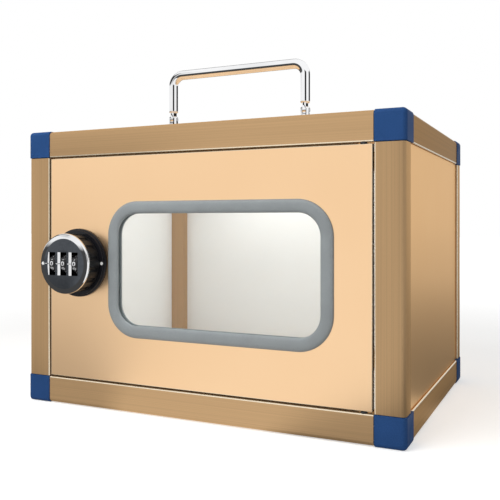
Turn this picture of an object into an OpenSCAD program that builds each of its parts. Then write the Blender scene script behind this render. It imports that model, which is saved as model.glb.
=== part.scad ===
// Portable safe: a box of aluminium profiles plugged together by moulded corner caps and closed
// by sheet panels. A pivoted door carries a window in a rubber gasket and a knob lock with
// three number wheels. A rod handle folds down on the top.
// Millimetres, +Z up. The front faces -Y. The origin is the centre of the footprint, knob included.

/* [Case] */
// Overall width across the corner caps
case_w = 300; // [260:1:420]
// Overall depth across the corner caps
case_d = 220; // [160:1:320]
// Overall height across the corner caps
case_h = 212; // [180:1:320]
// Thickness of the panels and of the door
panel_t = 4; // [3:0.5:5]

/* [Frame profiles] */
// Width of a profile's broad face
profile_w = 20; // [18:0.5:26]
// Width of a profile's narrow face
profile_t = 14; // [13:0.5:18]
// Wall of a profile and of the lips over the panels
profile_wall = 1.5; // [1.2:0.1:1.8]
// Radius of a profile's outer edge
profile_r = 3; // [2:0.5:5]
// Chamfer of a profile's edge beside a panel or the door
profile_chamfer = 0.5; // [0.2:0.1:0.8]
// Depth of the grooves that hold the panels
groove_depth = 6; // [4:0.5:6.5]
// Room on each face of a panel in its groove
groove_clear = 0.1; // [0.05:0.05:0.3]
// Room between a panel's edge and the bottom of its groove
groove_end = 0.5; // [0.2:0.1:1]

/* [Corner caps] */
// How far the caps stand out beyond the profiles
cap_proud = 0.5; // [0.2:0.1:1.5]
// Radius of the caps' outer edges
cap_r = 3; // [2:0.5:6]
// Length of the spigots that plug into the profiles
spigot_len = 18; // [10:1:30]
// Bevel at the tip of a spigot
spigot_tip = 1; // [0.5:0.1:1.5]
// Room round a spigot in its profile
spigot_clear = 0.1; // [0.05:0.05:0.3]
// Room between a cap and a panel's notch
notch_clear = 0.2; // [0.1:0.1:0.5]

/* [Door] */
// Gap between the door and the frame
door_gap = 1.2; // [0.8:0.1:2]
// How far the door's face lies behind the profiles' faces
door_recess = 0.5; // [0.2:0.1:1]
// Chamfer of the door's front edges
door_chamfer = 0.4; // [0.2:0.1:0.8]
// How far the stop fins reach behind the door
stop_reach = 8; // [4:0.5:10]
// Room between the door's back and the stop fins
stop_clear = 0.3; // [0.2:0.1:0.8]
// Distance of the hinge line from the door's edge
hinge_inset = 6; // [4:0.5:7]
// Diameter of the hinge pins
hinge_pin_d = 2.2; // [1.8:0.1:2.4]
// How deep a hinge pin sits in the door
hinge_pin_seat = 12; // [8:1:20]
// How far a hinge pin reaches into the frame
hinge_pin_reach = 7; // [4:0.5:10]
// Outside diameter of the hinge bushes
hinge_bush_d = 3.4; // [3:0.1:3.6]
// Diameter of a bush's flange
hinge_flange_d = 4.6; // [4.2:0.1:4.8]
// Room between a bush's flange and the door
hinge_thrust_clear = 0.2; // [0.1:0.05:0.4]

/* [Window] */
// From the door's lock edge to the gasket
window_margin_lock = 55; // [54:0.1:90]
// From the door's hinge edge to the gasket
window_margin_hinge = 25.2; // [16:0.1:60]
// From the door's upper and lower edges to the gasket
window_margin_level = 34; // [12:0.1:50]
// Corner radius of the clear window
window_r = 16; // [8:0.5:24]
// Width of the gasket's visible band
gasket_band = 9; // [8:0.5:14]
// How far the gasket laps over the door
gasket_lap = 4; // [3:0.5:5]
// Width of the gasket's web between the door and the pane
gasket_web = 1.6; // [1.2:0.1:2]
// Thickness of the gasket's lip at the crown
gasket_crown = 2.2; // [1.6:0.1:3]
// Thickness of the gasket's lip at its edges
gasket_edge = 0.9; // [0.6:0.1:1.4]
// Thickness of the pane
pane_t = 3; // [2:0.5:4]
// Room round the pane and the web
window_clear = 0.1; // [0.05:0.05:0.3]

/* [Lock] */
// From the door's edge to the lock's centre
lock_inset = 27.7; // [26:0.1:28.7]
// From the middle of the door up to the lock's centre
lock_rise = 4; // [-20:1:20]
// Diameter of the housing's flange
housing_d = 52; // [46:0.5:52]
// Thickness of the housing's flange
housing_t = 3.5; // [3:0.1:5]
// Width of the housing's lower rim
housing_rim = 1.2; // [0.8:0.1:1.6]
// Height of the housing's lower rim
housing_rim_t = 2; // [1.2:0.1:2.6]
// Diameter of the housing's barrel
barrel_d = 19; // [16:0.5:20]
// Width across the barrel's flats
barrel_flat = 16; // [14:0.5:16]
// How far the barrel stands out behind the door
barrel_tail = 8; // [7:0.5:8.5]
// Room round the barrel in the door, the washer and the nut
barrel_clear = 0.1; // [0.05:0.05:0.3]
// Diameter of the washer under the nut
lock_washer_d = 28; // [26:0.5:32]
// Thickness of the washer under the nut
lock_washer_t = 1; // [0.8:0.1:1.5]
// Width of the nut across its flats
lock_nut_w = 24; // [23:0.5:27]
// Thickness of the nut
lock_nut_t = 5; // [3:0.5:5.5]

/* [Knob] */
// Diameter of the knob's grip
knob_d = 44; // [40:0.5:44]
// Diameter of the knob's face plate
face_d = 45; // [41:0.5:46]
// Thickness of the face plate
face_t = 3; // [2.5:0.1:4]
// How far the face plate is domed
face_dome = 0.7; // [0.3:0.1:1.2]
// Radius of the face plate's edge
face_r = 1.2; // [0.6:0.1:1.6]
// Bevel along the sides of the face plate's slots
slot_bevel = 0.6; // [0.3:0.1:0.9]
// Gap between the knob and the housing
knob_gap = 0.3; // [0.2:0.1:0.6]
// Floor of the knob behind the wheels
knob_floor = 1.5; // [1.3:0.1:3]
// Number of grip flutes
flute_count = 16; // [10:1:20]
// Radius of a grip flute
flute_r = 2.4; // [1.5:0.1:3]
// Depth of a grip flute
flute_depth = 1.1; // [0.5:0.1:1.4]
// Height of the plain band below the flutes
flute_base = 2; // [1:0.5:4]
// Diameter of the index dots
dot_d = 2.4; // [1.5:0.1:2.4]
// Depth of the index dots
dot_t = 0.5; // [0.3:0.1:0.6]
// From the edge of the face plate to the centre of its dot
face_dot_inset = 3; // [2.6:0.1:4]
// From the edge of the flange's step to the centre of the housing's dot
housing_dot_inset = 1.4; // [1.4:0.1:1.5]

/* [Number wheels] */
// Diameter of a wheel
wheel_d = 14; // [14:0.5:18]
// Width of a wheel
wheel_w = 5.2; // [5:0.1:6.4]
// Distance between the wheels
wheel_pitch = 10.4; // [8.4:0.1:10.6]
// How far a wheel stands out of the face plate
wheel_proud = 0.6; // [0.2:0.1:1]
// Room round a wheel in its pocket
wheel_clear = 0.3; // [0.2:0.05:0.5]
// Room above and below a wheel in the face plate's slot
slot_room = 1.6; // [0.6:0.1:1.8]
// Number of places on a wheel
wheel_places = 10; // [10:1:10]
// Radius of the notches between the places
wheel_notch_r = 0.6; // [0.3:0.1:0.8]
// Diameter of the wheels' axle
axle_d = 2.5; // [2:0.1:3]
// Length of the axle's ends in the knob
axle_end = 3; // [2:0.5:4]
// Width of each lip that the axle snaps past
axle_snap = 0.12; // [0.05:0.01:0.2]
// Radial room of a wheel on its axle, and of a pin in its bore
running_clear = 0.05; // [0.02:0.01:0.08]
// Radial room of a part that is fixed in its seat
seat_clear = 0.03; // [0.02:0.01:0.05]

/* [Cam] */
// Diameter of the spindle
spindle_d = 10; // [9:0.5:11]
// Width across the spindle's square end
spindle_square = 7; // [5.8:0.1:7.4]
// Diameter of the spindle's flange
spindle_flange_d = 24; // [20:0.5:28]
// Thickness of the spindle's flange
spindle_flange_t = 1.5; // [1:0.1:1.8]
// Height of the spindle's nose in the knob
spindle_nose = 0.6; // [0.4:0.1:0.8]
// Width of the cam
cam_w = 16; // [14:0.5:20]
// Thickness of the cam
cam_t = 2; // [1.5:0.1:3]
// How far the cam reaches behind the frame
cam_bite = 10.5; // [4:0.5:12]
// Gap between the cam and the frame's profile
cam_clear = 0.5; // [0.3:0.1:1.2]
// Diameter of the cam's washer
cam_washer_d = 14; // [12:0.5:16]
// Thickness of the cam's washer
cam_washer_t = 1; // [0.8:0.1:1.5]
// Diameter of the cam's screw
cam_screw_d = 4; // [3:0.5:5]
// Diameter of the cam screw's head
cam_head_d = 9; // [8:0.5:11]
// Height of the cam screw's head
cam_head_t = 3; // [2.5:0.1:4]
// Length of the cam screw in the spindle
cam_screw_len = 8; // [6:0.5:10]

/* [Handle] */
// Distance between the handle's legs
handle_span = 116; // [90:1:180]
// From the front of the case to the handle
handle_back = 69; // [60:1:100]
// Diameter of the handle's rod and posts
rod_d = 7.5; // [7:0.5:10]
// Height of the handle's pivot above the top panel
pivot_rise = 15.8; // [15:0.1:24]
// From the pivot to the middle of the grip
grip_rise = 36; // [30:0.1:60]
// Bend radius at the middle of the rod
rod_bend_r = 9; // [6.5:0.5:16]
// From the pivot to the shoulder of a leg
shoulder_rise = 5.5; // [5:0.1:7]
// From the pivot to the top of a post
fork_rise = 2.6; // [2:0.1:3.2]
// Radius of a post's rounded top
fork_r = 1.6; // [1:0.1:2]
// Width of the slot in a post
fork_slot = 3; // [2.5:0.1:3.4]
// Room of a leg's tongue on each side in its slot
tongue_clear = 0.1; // [0.05:0.05:0.2]
// Radius of the tongue's eye
eye_r = 3; // [2.6:0.1:3.4]
// Room between the eye and the bottom of the slot
eye_clear = 0.3; // [0.2:0.1:0.5]
// Width of the tongue above its eye
tongue_w = 5; // [4:0.1:5]
// Diameter of the pivot pins
pivot_d = 3; // [2.5:0.1:3.4]
// How far a pivot pin's ends lie inside its post
pin_recess = 0.2; // [0.1:0.1:0.5]
// Diameter of the screws that hold the posts
post_screw_d = 4; // [3:0.5:4.5]
// Length of a screw in its post
post_screw_len = 9; // [6:0.5:10]
// Diameter of a post screw's head
post_head_d = 7; // [6:0.5:9]
// Height of a post screw's head
post_head_t = 2.6; // [2:0.1:3.5]
// Diameter of the washers below the top panel
post_washer_d = 12; // [10:0.5:16]
// Thickness of the washers below the top panel
post_washer_t = 1; // [0.8:0.1:1.5]
// Room of a screw in a hole that it passes through
screw_clear = 0.15; // [0.1:0.05:0.3]

/* [Hidden] */
$fn = 64;
eps = 0.01;
left = -1;
right = 1;
front = -1;
rear = 1;
bottom = -1;
top = 1;

// Frame: depths are measured inwards from the outside of the corner caps
cap_size = profile_w + cap_proud;
groove_w = panel_t + 2 * groove_clear;
chamber_in = 2 * profile_wall + groove_w;
skin = cap_proud + profile_wall + groove_clear;
groove_engage = groove_depth - groove_end;
inset_broad = cap_proud + profile_w - groove_engage;
inset_narrow = cap_proud + profile_t - groove_engage;
notch = cap_size + notch_clear;
deck_z = case_h - skin;

// Lock: heights are measured outwards from the door's front face
knob_back = housing_t + knob_gap;
wheel_out = knob_back + knob_floor + wheel_clear + wheel_d / 2;
knob_reach = wheel_out + wheel_d / 2 - wheel_proud;
face_back = knob_reach - face_t;
slot_w = wheel_w + 2 * wheel_clear;
slot_h = wheel_d + 2 * slot_room;
pocket_d = wheel_d + 2 * wheel_clear;
axle_len = 2 * wheel_pitch + wheel_w + 2 * axle_end;
axle_mouth = axle_d - 2 * axle_snap;
housing_step_r = housing_d / 2 - housing_rim;
housing_dot_r = housing_step_r - housing_dot_inset;
face_dot_r = face_d / 2 - face_dot_inset;
cam_front = profile_t - door_recess + cam_clear;
cam_back = cam_front + cam_t;
cam_reach = lock_inset + door_gap + cam_bite;

// Planes of the front, the rear and the door along Y
lock_reach = wheel_out + wheel_d / 2 - cap_proud - door_recess;
front_y = (lock_reach - case_d) / 2;
rear_y = front_y + case_d;
mid_y = (front_y + rear_y) / 2;
door_y = front_y + cap_proud + door_recess;

// Door and what it carries
door_w = case_w - 2 * (cap_size + door_gap);
door_h = case_h - 2 * (cap_size + door_gap);
hinge_x = door_w / 2 - hinge_inset;
hinge_y = door_y + panel_t / 2;
stop_from = door_recess + panel_t + stop_clear;
stop_cut = hinge_inset + hinge_flange_d;
lock_x = lock_inset - door_w / 2;
lock_z = case_h / 2 + lock_rise;
window_x = (window_margin_lock - window_margin_hinge) / 2;
window_w = door_w - window_margin_lock - window_margin_hinge - 2 * gasket_band;
window_h = door_h - 2 * window_margin_level - 2 * gasket_band;
pane_lap = gasket_band - gasket_lap - gasket_web;

// Handle
handle_y = front_y + handle_back;
pivot_z = deck_z + pivot_rise;
fork_floor = pivot_rise - eye_r - eye_clear;

gold = [0.80, 0.66, 0.47];
peach = [0.90, 0.75, 0.57];
blue = [0.16, 0.29, 0.49];
rubber_grey = [0.52, 0.56, 0.58];
clear_pane = [0.85, 0.92, 0.94, 0.35];
chrome = [0.85, 0.86, 0.88];
black = [0.07, 0.07, 0.08];
zinc = [0.66, 0.68, 0.70];
white = [0.95, 0.95, 0.94];

// Puts a piece drawn at the left, front and bottom where its signs say
module place(side, face, level) {
    translate([0, mid_y, case_h / 2])
        mirror([side > 0 ? 1 : 0, 0, 0])
            mirror([0, face > 0 ? 1 : 0, 0])
                mirror([0, 0, level > 0 ? 1 : 0])
                    translate([0, -mid_y, -case_h / 2]) children();
}

// Lock frame: X to the right, Y up and Z out of the door
module at_lock() {
    translate([lock_x, door_y, lock_z]) rotate([90, 0, 0]) children();
}

// Window frame: as the lock frame, with Z = 0 in the middle of the door's thickness
module at_window() {
    translate([window_x, door_y + panel_t / 2, case_h / 2]) rotate([90, 0, 0]) children();
}

module at_handle(side) {
    translate([side * handle_span / 2, handle_y, deck_z]) children();
}

module rounded_rect(w, h, r) {
    square([w - 2 * r, h], center = true);
    square([w, h - 2 * r], center = true);
    for (x = [-1, 1], y = [-1, 1])
        translate([x * (w / 2 - r), y * (h / 2 - r)]) circle(r);
}

// Section of a profile: X along the broad face and Y inwards, from the outer edge
module profile_section(panel_groove) {
    room_end = panel_groove ? profile_w - groove_depth : profile_w;
    difference() {
        union() {
            translate([profile_r, 0]) square([profile_w - profile_r, profile_t]);
            translate([0, profile_r]) square([profile_w, profile_t - profile_r]);
            translate([profile_r, profile_r]) circle(profile_r);
        }
        polygon([
            [profile_w - profile_chamfer, -eps], [profile_w + eps, -eps],
            [profile_w + eps, profile_chamfer]
        ]);
        translate([chamber_in, chamber_in])
            square([profile_w - profile_wall - chamber_in, profile_t - profile_wall - chamber_in]);
        translate([profile_wall, profile_t - groove_depth]) square([groove_w, groove_depth + eps]);
        translate([profile_r, profile_wall]) square([room_end - profile_wall - profile_r, groove_w]);
        if (panel_groove)
            translate([room_end, profile_wall]) square([groove_depth + eps, groove_w]);
    }
}

// Fin of a front profile that the door closes against
module stop_section() {
    translate([profile_w - profile_wall, stop_from])
        square([profile_wall + stop_reach, profile_wall]);
}

module post(panel_groove, stop) {
    translate([cap_proud - case_w / 2, front_y + cap_proud, cap_size])
        linear_extrude(case_h - 2 * cap_size) {
            profile_section(panel_groove);
            if (stop) stop_section();
        }
}

module rail_across(panel_groove) {
    translate([0, front_y + cap_proud, cap_proud]) rotate([0, -90, 0])
        linear_extrude(case_w - 2 * cap_size, center = true) profile_section(panel_groove);
}

module rail_along() {
    translate([cap_proud - case_w / 2, mid_y, cap_proud]) rotate([0, -90, -90])
        linear_extrude(case_d - 2 * cap_size, center = true) profile_section(true);
}

// Front rail with its stop fin, left short at the hinge, and the seat of the hinge bush
module rail_front() {
    fin_from = cap_size - case_w / 2 + stop_reach + stop_clear;
    fin_to = door_w / 2 - stop_cut;
    difference() {
        union() {
            rail_across(false);
            translate([fin_to, front_y + cap_proud, cap_proud]) rotate([0, -90, 0])
                linear_extrude(fin_to - fin_from) stop_section();
        }
        translate([hinge_x, hinge_y, cap_size - hinge_pin_reach - profile_wall])
            cylinder(d = hinge_bush_d + 2 * seat_clear, h = hinge_pin_reach + 2 * profile_wall);
    }
}

// Sheet with its corners notched round the caps
module notched_sheet(w, h, inset_w, inset_h) {
    square([w - 2 * inset_w, h - 2 * notch], center = true);
    square([w - 2 * notch, h - 2 * inset_h], center = true);
}

// Spigot along +Z that fills a profile's chamber, with a bevelled tip
module spigot(w, t) {
    translate([0, 0, -profile_wall]) linear_extrude(profile_wall + spigot_len - spigot_tip)
        square([w, t]);
    translate([spigot_tip, spigot_tip, spigot_len - spigot_tip - eps])
        linear_extrude(spigot_tip + eps) square([w - 2 * spigot_tip, t - 2 * spigot_tip]);
}

// Corner cap: a rounded block with three spigots
module corner_cap(side, face, level) {
    from = cap_proud + chamber_in + spigot_clear;
    w = profile_w - profile_wall - chamber_in - 2 * spigot_clear;
    t = profile_t - profile_wall - chamber_in - 2 * spigot_clear;
    far = cap_size - cap_r;
    color(blue) place(side, face, level) translate([-case_w / 2, front_y, 0]) {
        hull($fn = 32) {
            translate([cap_r, cap_r, cap_r]) sphere(cap_r);
            translate([cap_r, cap_r, cap_r]) cylinder(r = cap_r, h = far);
            translate([cap_r, cap_r, cap_r]) rotate([0, 90, 0]) cylinder(r = cap_r, h = far);
            translate([cap_r, cap_r, cap_r]) rotate([-90, 0, 0]) cylinder(r = cap_r, h = far);
            translate([cap_r, cap_r, 0]) cube([far, far, cap_size]);
            translate([0, cap_r, cap_r]) cube([cap_size, far, far]);
            translate([cap_r, 0, cap_r]) cube([far, cap_size, far]);
        }
        translate([from, from, cap_size]) spigot(w, t);
        translate([cap_size, from, from]) mirror([1, 0, 0]) rotate([0, -90, 0]) spigot(w, t);
        translate([from, cap_size, from]) rotate([0, -90, -90]) spigot(w, t);
    }
}

module rail_front_node(level) {
    color(gold) place(left, front, level) rail_front();
}

module rail_rear_node(level) {
    color(gold) place(left, rear, level) rail_across(true);
}

module rail_side_node(side, level) {
    color(gold) place(side, front, level) rail_along();
}

module post_front_node(side) {
    color(gold) place(side, front, bottom) post(false, side == left);
}

module post_rear_node(side) {
    color(gold) place(side, rear, bottom) post(true, false);
}

module panel_side(side) {
    color(peach) place(side, front, bottom)
        translate([skin - case_w / 2, mid_y, case_h / 2]) rotate([90, 0, 90])
            linear_extrude(panel_t) notched_sheet(case_d, case_h, inset_narrow, inset_broad);
}

module panel_rear() {
    color(peach) translate([0, rear_y - skin, case_h / 2]) rotate([90, 0, 0])
        linear_extrude(panel_t) notched_sheet(case_w, case_h, inset_broad, inset_broad);
}

module panel_bottom() {
    color(peach) translate([0, mid_y, skin])
        linear_extrude(panel_t) notched_sheet(case_w, case_d, inset_narrow, inset_narrow);
}

// Top panel with the two screw holes of the handle
module panel_top() {
    color(peach) difference() {
        translate([0, mid_y, deck_z - panel_t])
            linear_extrude(panel_t) notched_sheet(case_w, case_d, inset_narrow, inset_narrow);
        for (side = [left, right])
            at_handle(side) translate([0, 0, -panel_t - eps])
                cylinder(d = post_screw_d + 2 * screw_clear, h = panel_t + 2 * eps);
    }
}

// Flanged bush in a front rail, in which a hinge pin turns
module hinge_bush(level) {
    flange_t = door_gap - hinge_thrust_clear;
    color(black) place(left, front, level) translate([hinge_x, hinge_y, cap_size]) difference() {
        union() {
            cylinder(d = hinge_flange_d, h = flange_t);
            translate([0, 0, -hinge_pin_reach]) cylinder(d = hinge_bush_d, h = hinge_pin_reach + eps);
        }
        translate([0, 0, -hinge_pin_reach - eps])
            cylinder(d = hinge_pin_d + 2 * running_clear, h = hinge_pin_reach + door_gap);
    }
}

module hinge_pin(level) {
    color(zinc) place(left, front, level)
        translate([hinge_x, hinge_y, cap_size - hinge_pin_reach])
            cylinder(d = hinge_pin_d, h = hinge_pin_reach + door_gap + hinge_pin_seat);
}

// Post of the handle: a forked rod end with its screw hole
module handle_post(side) {
    h = pivot_rise + fork_rise;
    steps = 4;
    color(chrome) at_handle(side) difference() {
        rotate_extrude() polygon([
            [0, 0], [rod_d / 2, 0],
            for (i = [0 : steps]) [
                rod_d / 2 - fork_r + fork_r * cos(i * 90 / steps),
                h - fork_r + fork_r * sin(i * 90 / steps)
            ],
            [0, h]
        ]);
        translate([-fork_slot / 2, -rod_d, fork_floor]) cube([fork_slot, 2 * rod_d, h]);
        translate([-rod_d, 0, pivot_rise]) rotate([0, 90, 0])
            cylinder(d = pivot_d + 2 * seat_clear, h = 2 * rod_d);
        translate([0, 0, -eps])
            cylinder(d = post_screw_d + 2 * seat_clear, h = post_screw_len + screw_clear);
    }
}

module handle_pin(side) {
    color(zinc) at_handle(side) translate([0, 0, pivot_rise]) rotate([0, 90, 0])
        cylinder(d = pivot_d, h = rod_d - 2 * pin_recess, center = true);
}

module handle_screws() {
    color(zinc) for (side = [left, right])
        at_handle(side) translate([0, 0, -panel_t - post_washer_t]) {
            translate([0, 0, -eps])
                cylinder(d = post_screw_d, h = panel_t + post_washer_t + post_screw_len + eps);
            difference() {
                translate([0, 0, -post_head_t]) cylinder(d = post_head_d, h = post_head_t);
                translate([0, 0, -post_head_t - eps])
                    cylinder(d = post_head_d / 2, h = post_head_t / 2, $fn = 6);
            }
        }
}

module handle_washers() {
    color(zinc) for (side = [left, right])
        at_handle(side) translate([0, 0, -panel_t - post_washer_t]) difference() {
            cylinder(d = post_washer_d, h = post_washer_t);
            translate([0, 0, -eps])
                cylinder(d = post_screw_d + 2 * screw_clear, h = post_washer_t + 2 * eps);
        }
}

// Leg of the handle: a tongue with an eye, a shoulder and the rod up to the bend
module handle_leg() {
    tongue_t = fork_slot - 2 * tongue_clear;
    difference() {
        union() {
            rotate([0, 90, 0]) cylinder(r = eye_r, h = tongue_t, center = true);
            translate([-tongue_t / 2, -tongue_w / 2, 0])
                cube([tongue_t, tongue_w, shoulder_rise + eps]);
            translate([0, 0, shoulder_rise])
                cylinder(d = rod_d, h = grip_rise - rod_bend_r - shoulder_rise);
        }
        rotate([0, 90, 0]) cylinder(d = pivot_d + 2 * running_clear, h = rod_d, center = true);
    }
}

// Handle bar: two legs, two bends and the grip
module handle_bar() {
    reach = handle_span / 2 - rod_bend_r;
    color(chrome) translate([0, handle_y, pivot_z]) {
        for (side = [left, right])
            mirror([side > 0 ? 1 : 0, 0, 0]) {
                translate([-handle_span / 2, 0, 0]) handle_leg();
                translate([-reach, 0, grip_rise - rod_bend_r]) rotate([90, 0, 0]) rotate([0, 0, 90])
                    rotate_extrude(angle = 90) translate([rod_bend_r, 0]) circle(d = rod_d);
            }
        translate([-reach, 0, grip_rise]) rotate([0, 90, 0]) cylinder(d = rod_d, h = 2 * reach);
    }
}

// Double flat outline of the lock's barrel
module barrel_outline(clear) {
    intersection() {
        circle(d = barrel_d + 2 * clear);
        square([2 * barrel_d, barrel_flat + 2 * clear], center = true);
    }
}

// Door sheet with its window, the lock's keyed hole and the bores of the hinge pins
module door_panel() {
    lap = gasket_band - gasket_lap + window_clear;
    color(peach) difference() {
        translate([0, door_y + panel_t, case_h / 2]) rotate([90, 0, 0])
            linear_extrude(panel_t) square([door_w, door_h], center = true);
        for (side = [-1, 1])
            translate([side * door_w / 2, door_y, case_h / 2]) rotate([0, 0, 45])
                cube([door_chamfer * sqrt(2), door_chamfer * sqrt(2), case_h], center = true);
        for (level = [-1, 1])
            translate([0, door_y, case_h / 2 + level * door_h / 2]) rotate([45, 0, 0])
                cube([case_w, door_chamfer * sqrt(2), door_chamfer * sqrt(2)], center = true);
        at_window() translate([0, 0, -panel_t]) linear_extrude(2 * panel_t)
            rounded_rect(window_w + 2 * lap, window_h + 2 * lap, window_r + lap);
        at_lock() translate([0, 0, -2 * panel_t]) linear_extrude(3 * panel_t)
            barrel_outline(barrel_clear);
        for (level = [bottom, top])
            place(left, front, level)
                translate([hinge_x, hinge_y, cap_size + door_gap - eps])
                    cylinder(d = hinge_pin_d + 2 * seat_clear, h = hinge_pin_seat + running_clear);
    }
}

// H section of the gasket: X outwards from the clear window, Y out of the door
module gasket_section() {
    steps = 8;
    inner = pane_t / 2;
    outer = panel_t / 2;
    web_to = pane_lap + gasket_web;
    crest = function (i) outer + gasket_edge + (gasket_crown - gasket_edge) * sin(180 * i / steps);
    half = [
        [pane_lap, inner], [0, inner],
        for (i = [0 : steps]) [i * gasket_band / steps, crest(i)],
        [gasket_band, outer], [web_to, outer]
    ];
    polygon([
        for (p = half) p,
        for (i = [len(half) - 1 : -1 : 0]) [half[i].x, -half[i].y]
    ]);
}

module window_gasket() {
    run_w = window_w - 2 * window_r;
    run_h = window_h - 2 * window_r;
    color(rubber_grey) at_window()
        for (turn = [0 : 3]) {
            run = turn % 2 == 0 ? run_w : run_h;
            out = turn % 2 == 0 ? window_h : window_w;
            rotate([0, 0, 90 * turn]) {
                translate([0, out / 2, 0]) rotate([90, 0, 90])
                    linear_extrude(run, center = true) gasket_section();
                translate([run / 2, out / 2 - window_r, 0]) rotate_extrude(angle = 90)
                    translate([window_r, 0]) gasket_section();
            }
        }
}

module window_pane() {
    lap = pane_lap - window_clear;
    color(clear_pane) at_window() translate([0, 0, -pane_t / 2]) linear_extrude(pane_t)
        rounded_rect(window_w + 2 * lap, window_h + 2 * lap, window_r + lap);
}

// Housing of the lock: a stepped flange and a barrel with two flats
module lock_housing() {
    tail = panel_t + barrel_tail;
    bevel = housing_rim / 2;
    recess = spindle_flange_t - knob_gap + wheel_clear;
    color(black) at_lock() difference() {
        union() {
            rotate_extrude() polygon([
                [0, 0], [housing_d / 2, 0], [housing_d / 2, housing_rim_t - bevel],
                [housing_d / 2 - bevel, housing_rim_t], [housing_step_r, housing_rim_t],
                [housing_step_r, housing_t - bevel], [housing_step_r - bevel, housing_t],
                [0, housing_t]
            ]);
            translate([0, 0, -tail]) linear_extrude(tail + eps) barrel_outline(0);
        }
        translate([0, 0, -tail - eps])
            cylinder(d = spindle_d + 2 * running_clear, h = tail + housing_t + 2 * eps);
        translate([0, 0, housing_t - recess])
            cylinder(d = spindle_flange_d + 2 * wheel_clear, h = recess + eps);
        translate([housing_dot_r, 0, housing_t - dot_t])
            cylinder(d = dot_d + 2 * seat_clear, h = dot_t + eps);
    }
}

module housing_dot() {
    color(white) at_lock() translate([housing_dot_r, 0, housing_t - dot_t])
        cylinder(d = dot_d, h = dot_t);
}

module lock_washer() {
    color(zinc) at_lock() translate([0, 0, -panel_t - lock_washer_t]) linear_extrude(lock_washer_t)
        difference() {
            circle(d = lock_washer_d);
            barrel_outline(barrel_clear);
        }
}

module lock_nut() {
    color(zinc) at_lock() translate([0, 0, -panel_t - lock_washer_t - lock_nut_t]) difference() {
        cylinder(d = lock_nut_w / cos(30), h = lock_nut_t, $fn = 6);
        translate([0, 0, -eps]) cylinder(d = barrel_d + 2 * barrel_clear, h = lock_nut_t + 2 * eps);
    }
}

// Fluted knob with a pocket for each wheel and snap seats for the axle
module knob_body() {
    color(black) at_lock() difference() {
        translate([0, 0, knob_back]) cylinder(d = knob_d, h = face_back - knob_back);
        for (i = [0 : flute_count - 1])
            rotate([0, 0, (i + 0.5) * 360 / flute_count])
                translate([knob_d / 2 + flute_r - flute_depth, 0, knob_back + flute_base])
                    cylinder(r = flute_r, h = face_back);
        for (i = [-1 : 1])
            translate([i * wheel_pitch, 0, wheel_out]) {
                rotate([0, 90, 0]) cylinder(d = pocket_d, h = slot_w, center = true);
                translate([-slot_w / 2, -slot_h / 2, 0]) cube([slot_w, slot_h, knob_reach]);
            }
        translate([0, 0, wheel_out]) rotate([0, 90, 0])
            cylinder(d = axle_d + 2 * seat_clear, h = axle_len + 2 * seat_clear, center = true);
        translate([-axle_len / 2, -axle_mouth / 2, wheel_out])
            cube([axle_len, axle_mouth, knob_reach]);
        translate([0, 0, knob_back - eps])
            cylinder(d = spindle_d + 2 * seat_clear, h = spindle_nose + seat_clear);
    }
}

// Domed face plate with a slot for each wheel, bevelled along its sides
module knob_face() {
    steps = 8;
    flat_r = face_d / 2 - face_r;
    edge_z = knob_reach - face_dome - face_r;
    color(chrome) at_lock() difference() {
        rotate_extrude() polygon([
            [0, face_back], [face_d / 2, face_back],
            for (i = [0 : steps]) [
                flat_r + face_r * cos(90 * i / steps), edge_z + face_r * sin(90 * i / steps)
            ],
            for (i = [1 : steps - 1]) [
                flat_r * (1 - i / steps), knob_reach - face_dome * (1 - i / steps) ^ 2
            ],
            [0, knob_reach]
        ]);
        for (i = [-1 : 1]) {
            translate([i * wheel_pitch - slot_w / 2, -slot_h / 2, face_back - eps])
                cube([slot_w, slot_h, 2 * face_t]);
            for (side = [-1, 1])
                translate([i * wheel_pitch + side * slot_w / 2, 0, knob_reach]) rotate([0, 45, 0])
                    cube([slot_bevel * sqrt(2), slot_h - slot_bevel, slot_bevel * sqrt(2)], center = true);
        }
        translate([-face_dot_r, 0, knob_reach - face_dome - dot_t])
            cylinder(d = dot_d + 2 * seat_clear, h = face_t);
    }
}

module face_dot() {
    color(white) at_lock() translate([-face_dot_r, 0, knob_reach - face_dome - dot_t])
        cylinder(d = dot_d, h = dot_t);
}

module wheel_axle() {
    color(zinc) at_lock() translate([0, 0, wheel_out]) rotate([0, 90, 0])
        cylinder(d = axle_d, h = axle_len, center = true);
}

// Number wheel with a notch between each two places
module number_wheel(i) {
    color(black) at_lock() translate([i * wheel_pitch, 0, wheel_out]) rotate([0, 90, 0]) difference() {
        cylinder(d = wheel_d, h = wheel_w, center = true);
        cylinder(d = axle_d + 2 * running_clear, h = 2 * wheel_w, center = true);
        for (k = [0 : wheel_places - 1])
            rotate([0, 0, (k + 0.5) * 360 / wheel_places])
                translate([wheel_d / 2, 0, 0])
                    cylinder(r = wheel_notch_r, h = 2 * wheel_w, center = true);
    }
}

// Spindle: a nose in the knob, a thrust flange, the shaft and a square end for the cam
module spindle() {
    shoulder = knob_back - spindle_flange_t;
    square_len = cam_t - running_clear;
    color(zinc) at_lock() difference() {
        union() {
            translate([0, 0, shoulder]) cylinder(d = spindle_flange_d, h = spindle_flange_t);
            translate([0, 0, knob_back - eps]) cylinder(d = spindle_d, h = spindle_nose + eps);
            translate([0, 0, -cam_front]) cylinder(d = spindle_d, h = cam_front + shoulder + eps);
            translate([-spindle_square / 2, -spindle_square / 2, -cam_front - square_len])
                cube([spindle_square, spindle_square, square_len + eps]);
        }
        translate([0, 0, -cam_back])
            cylinder(d = cam_screw_d + 2 * seat_clear, h = cam_screw_len + screw_clear);
    }
}

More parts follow.
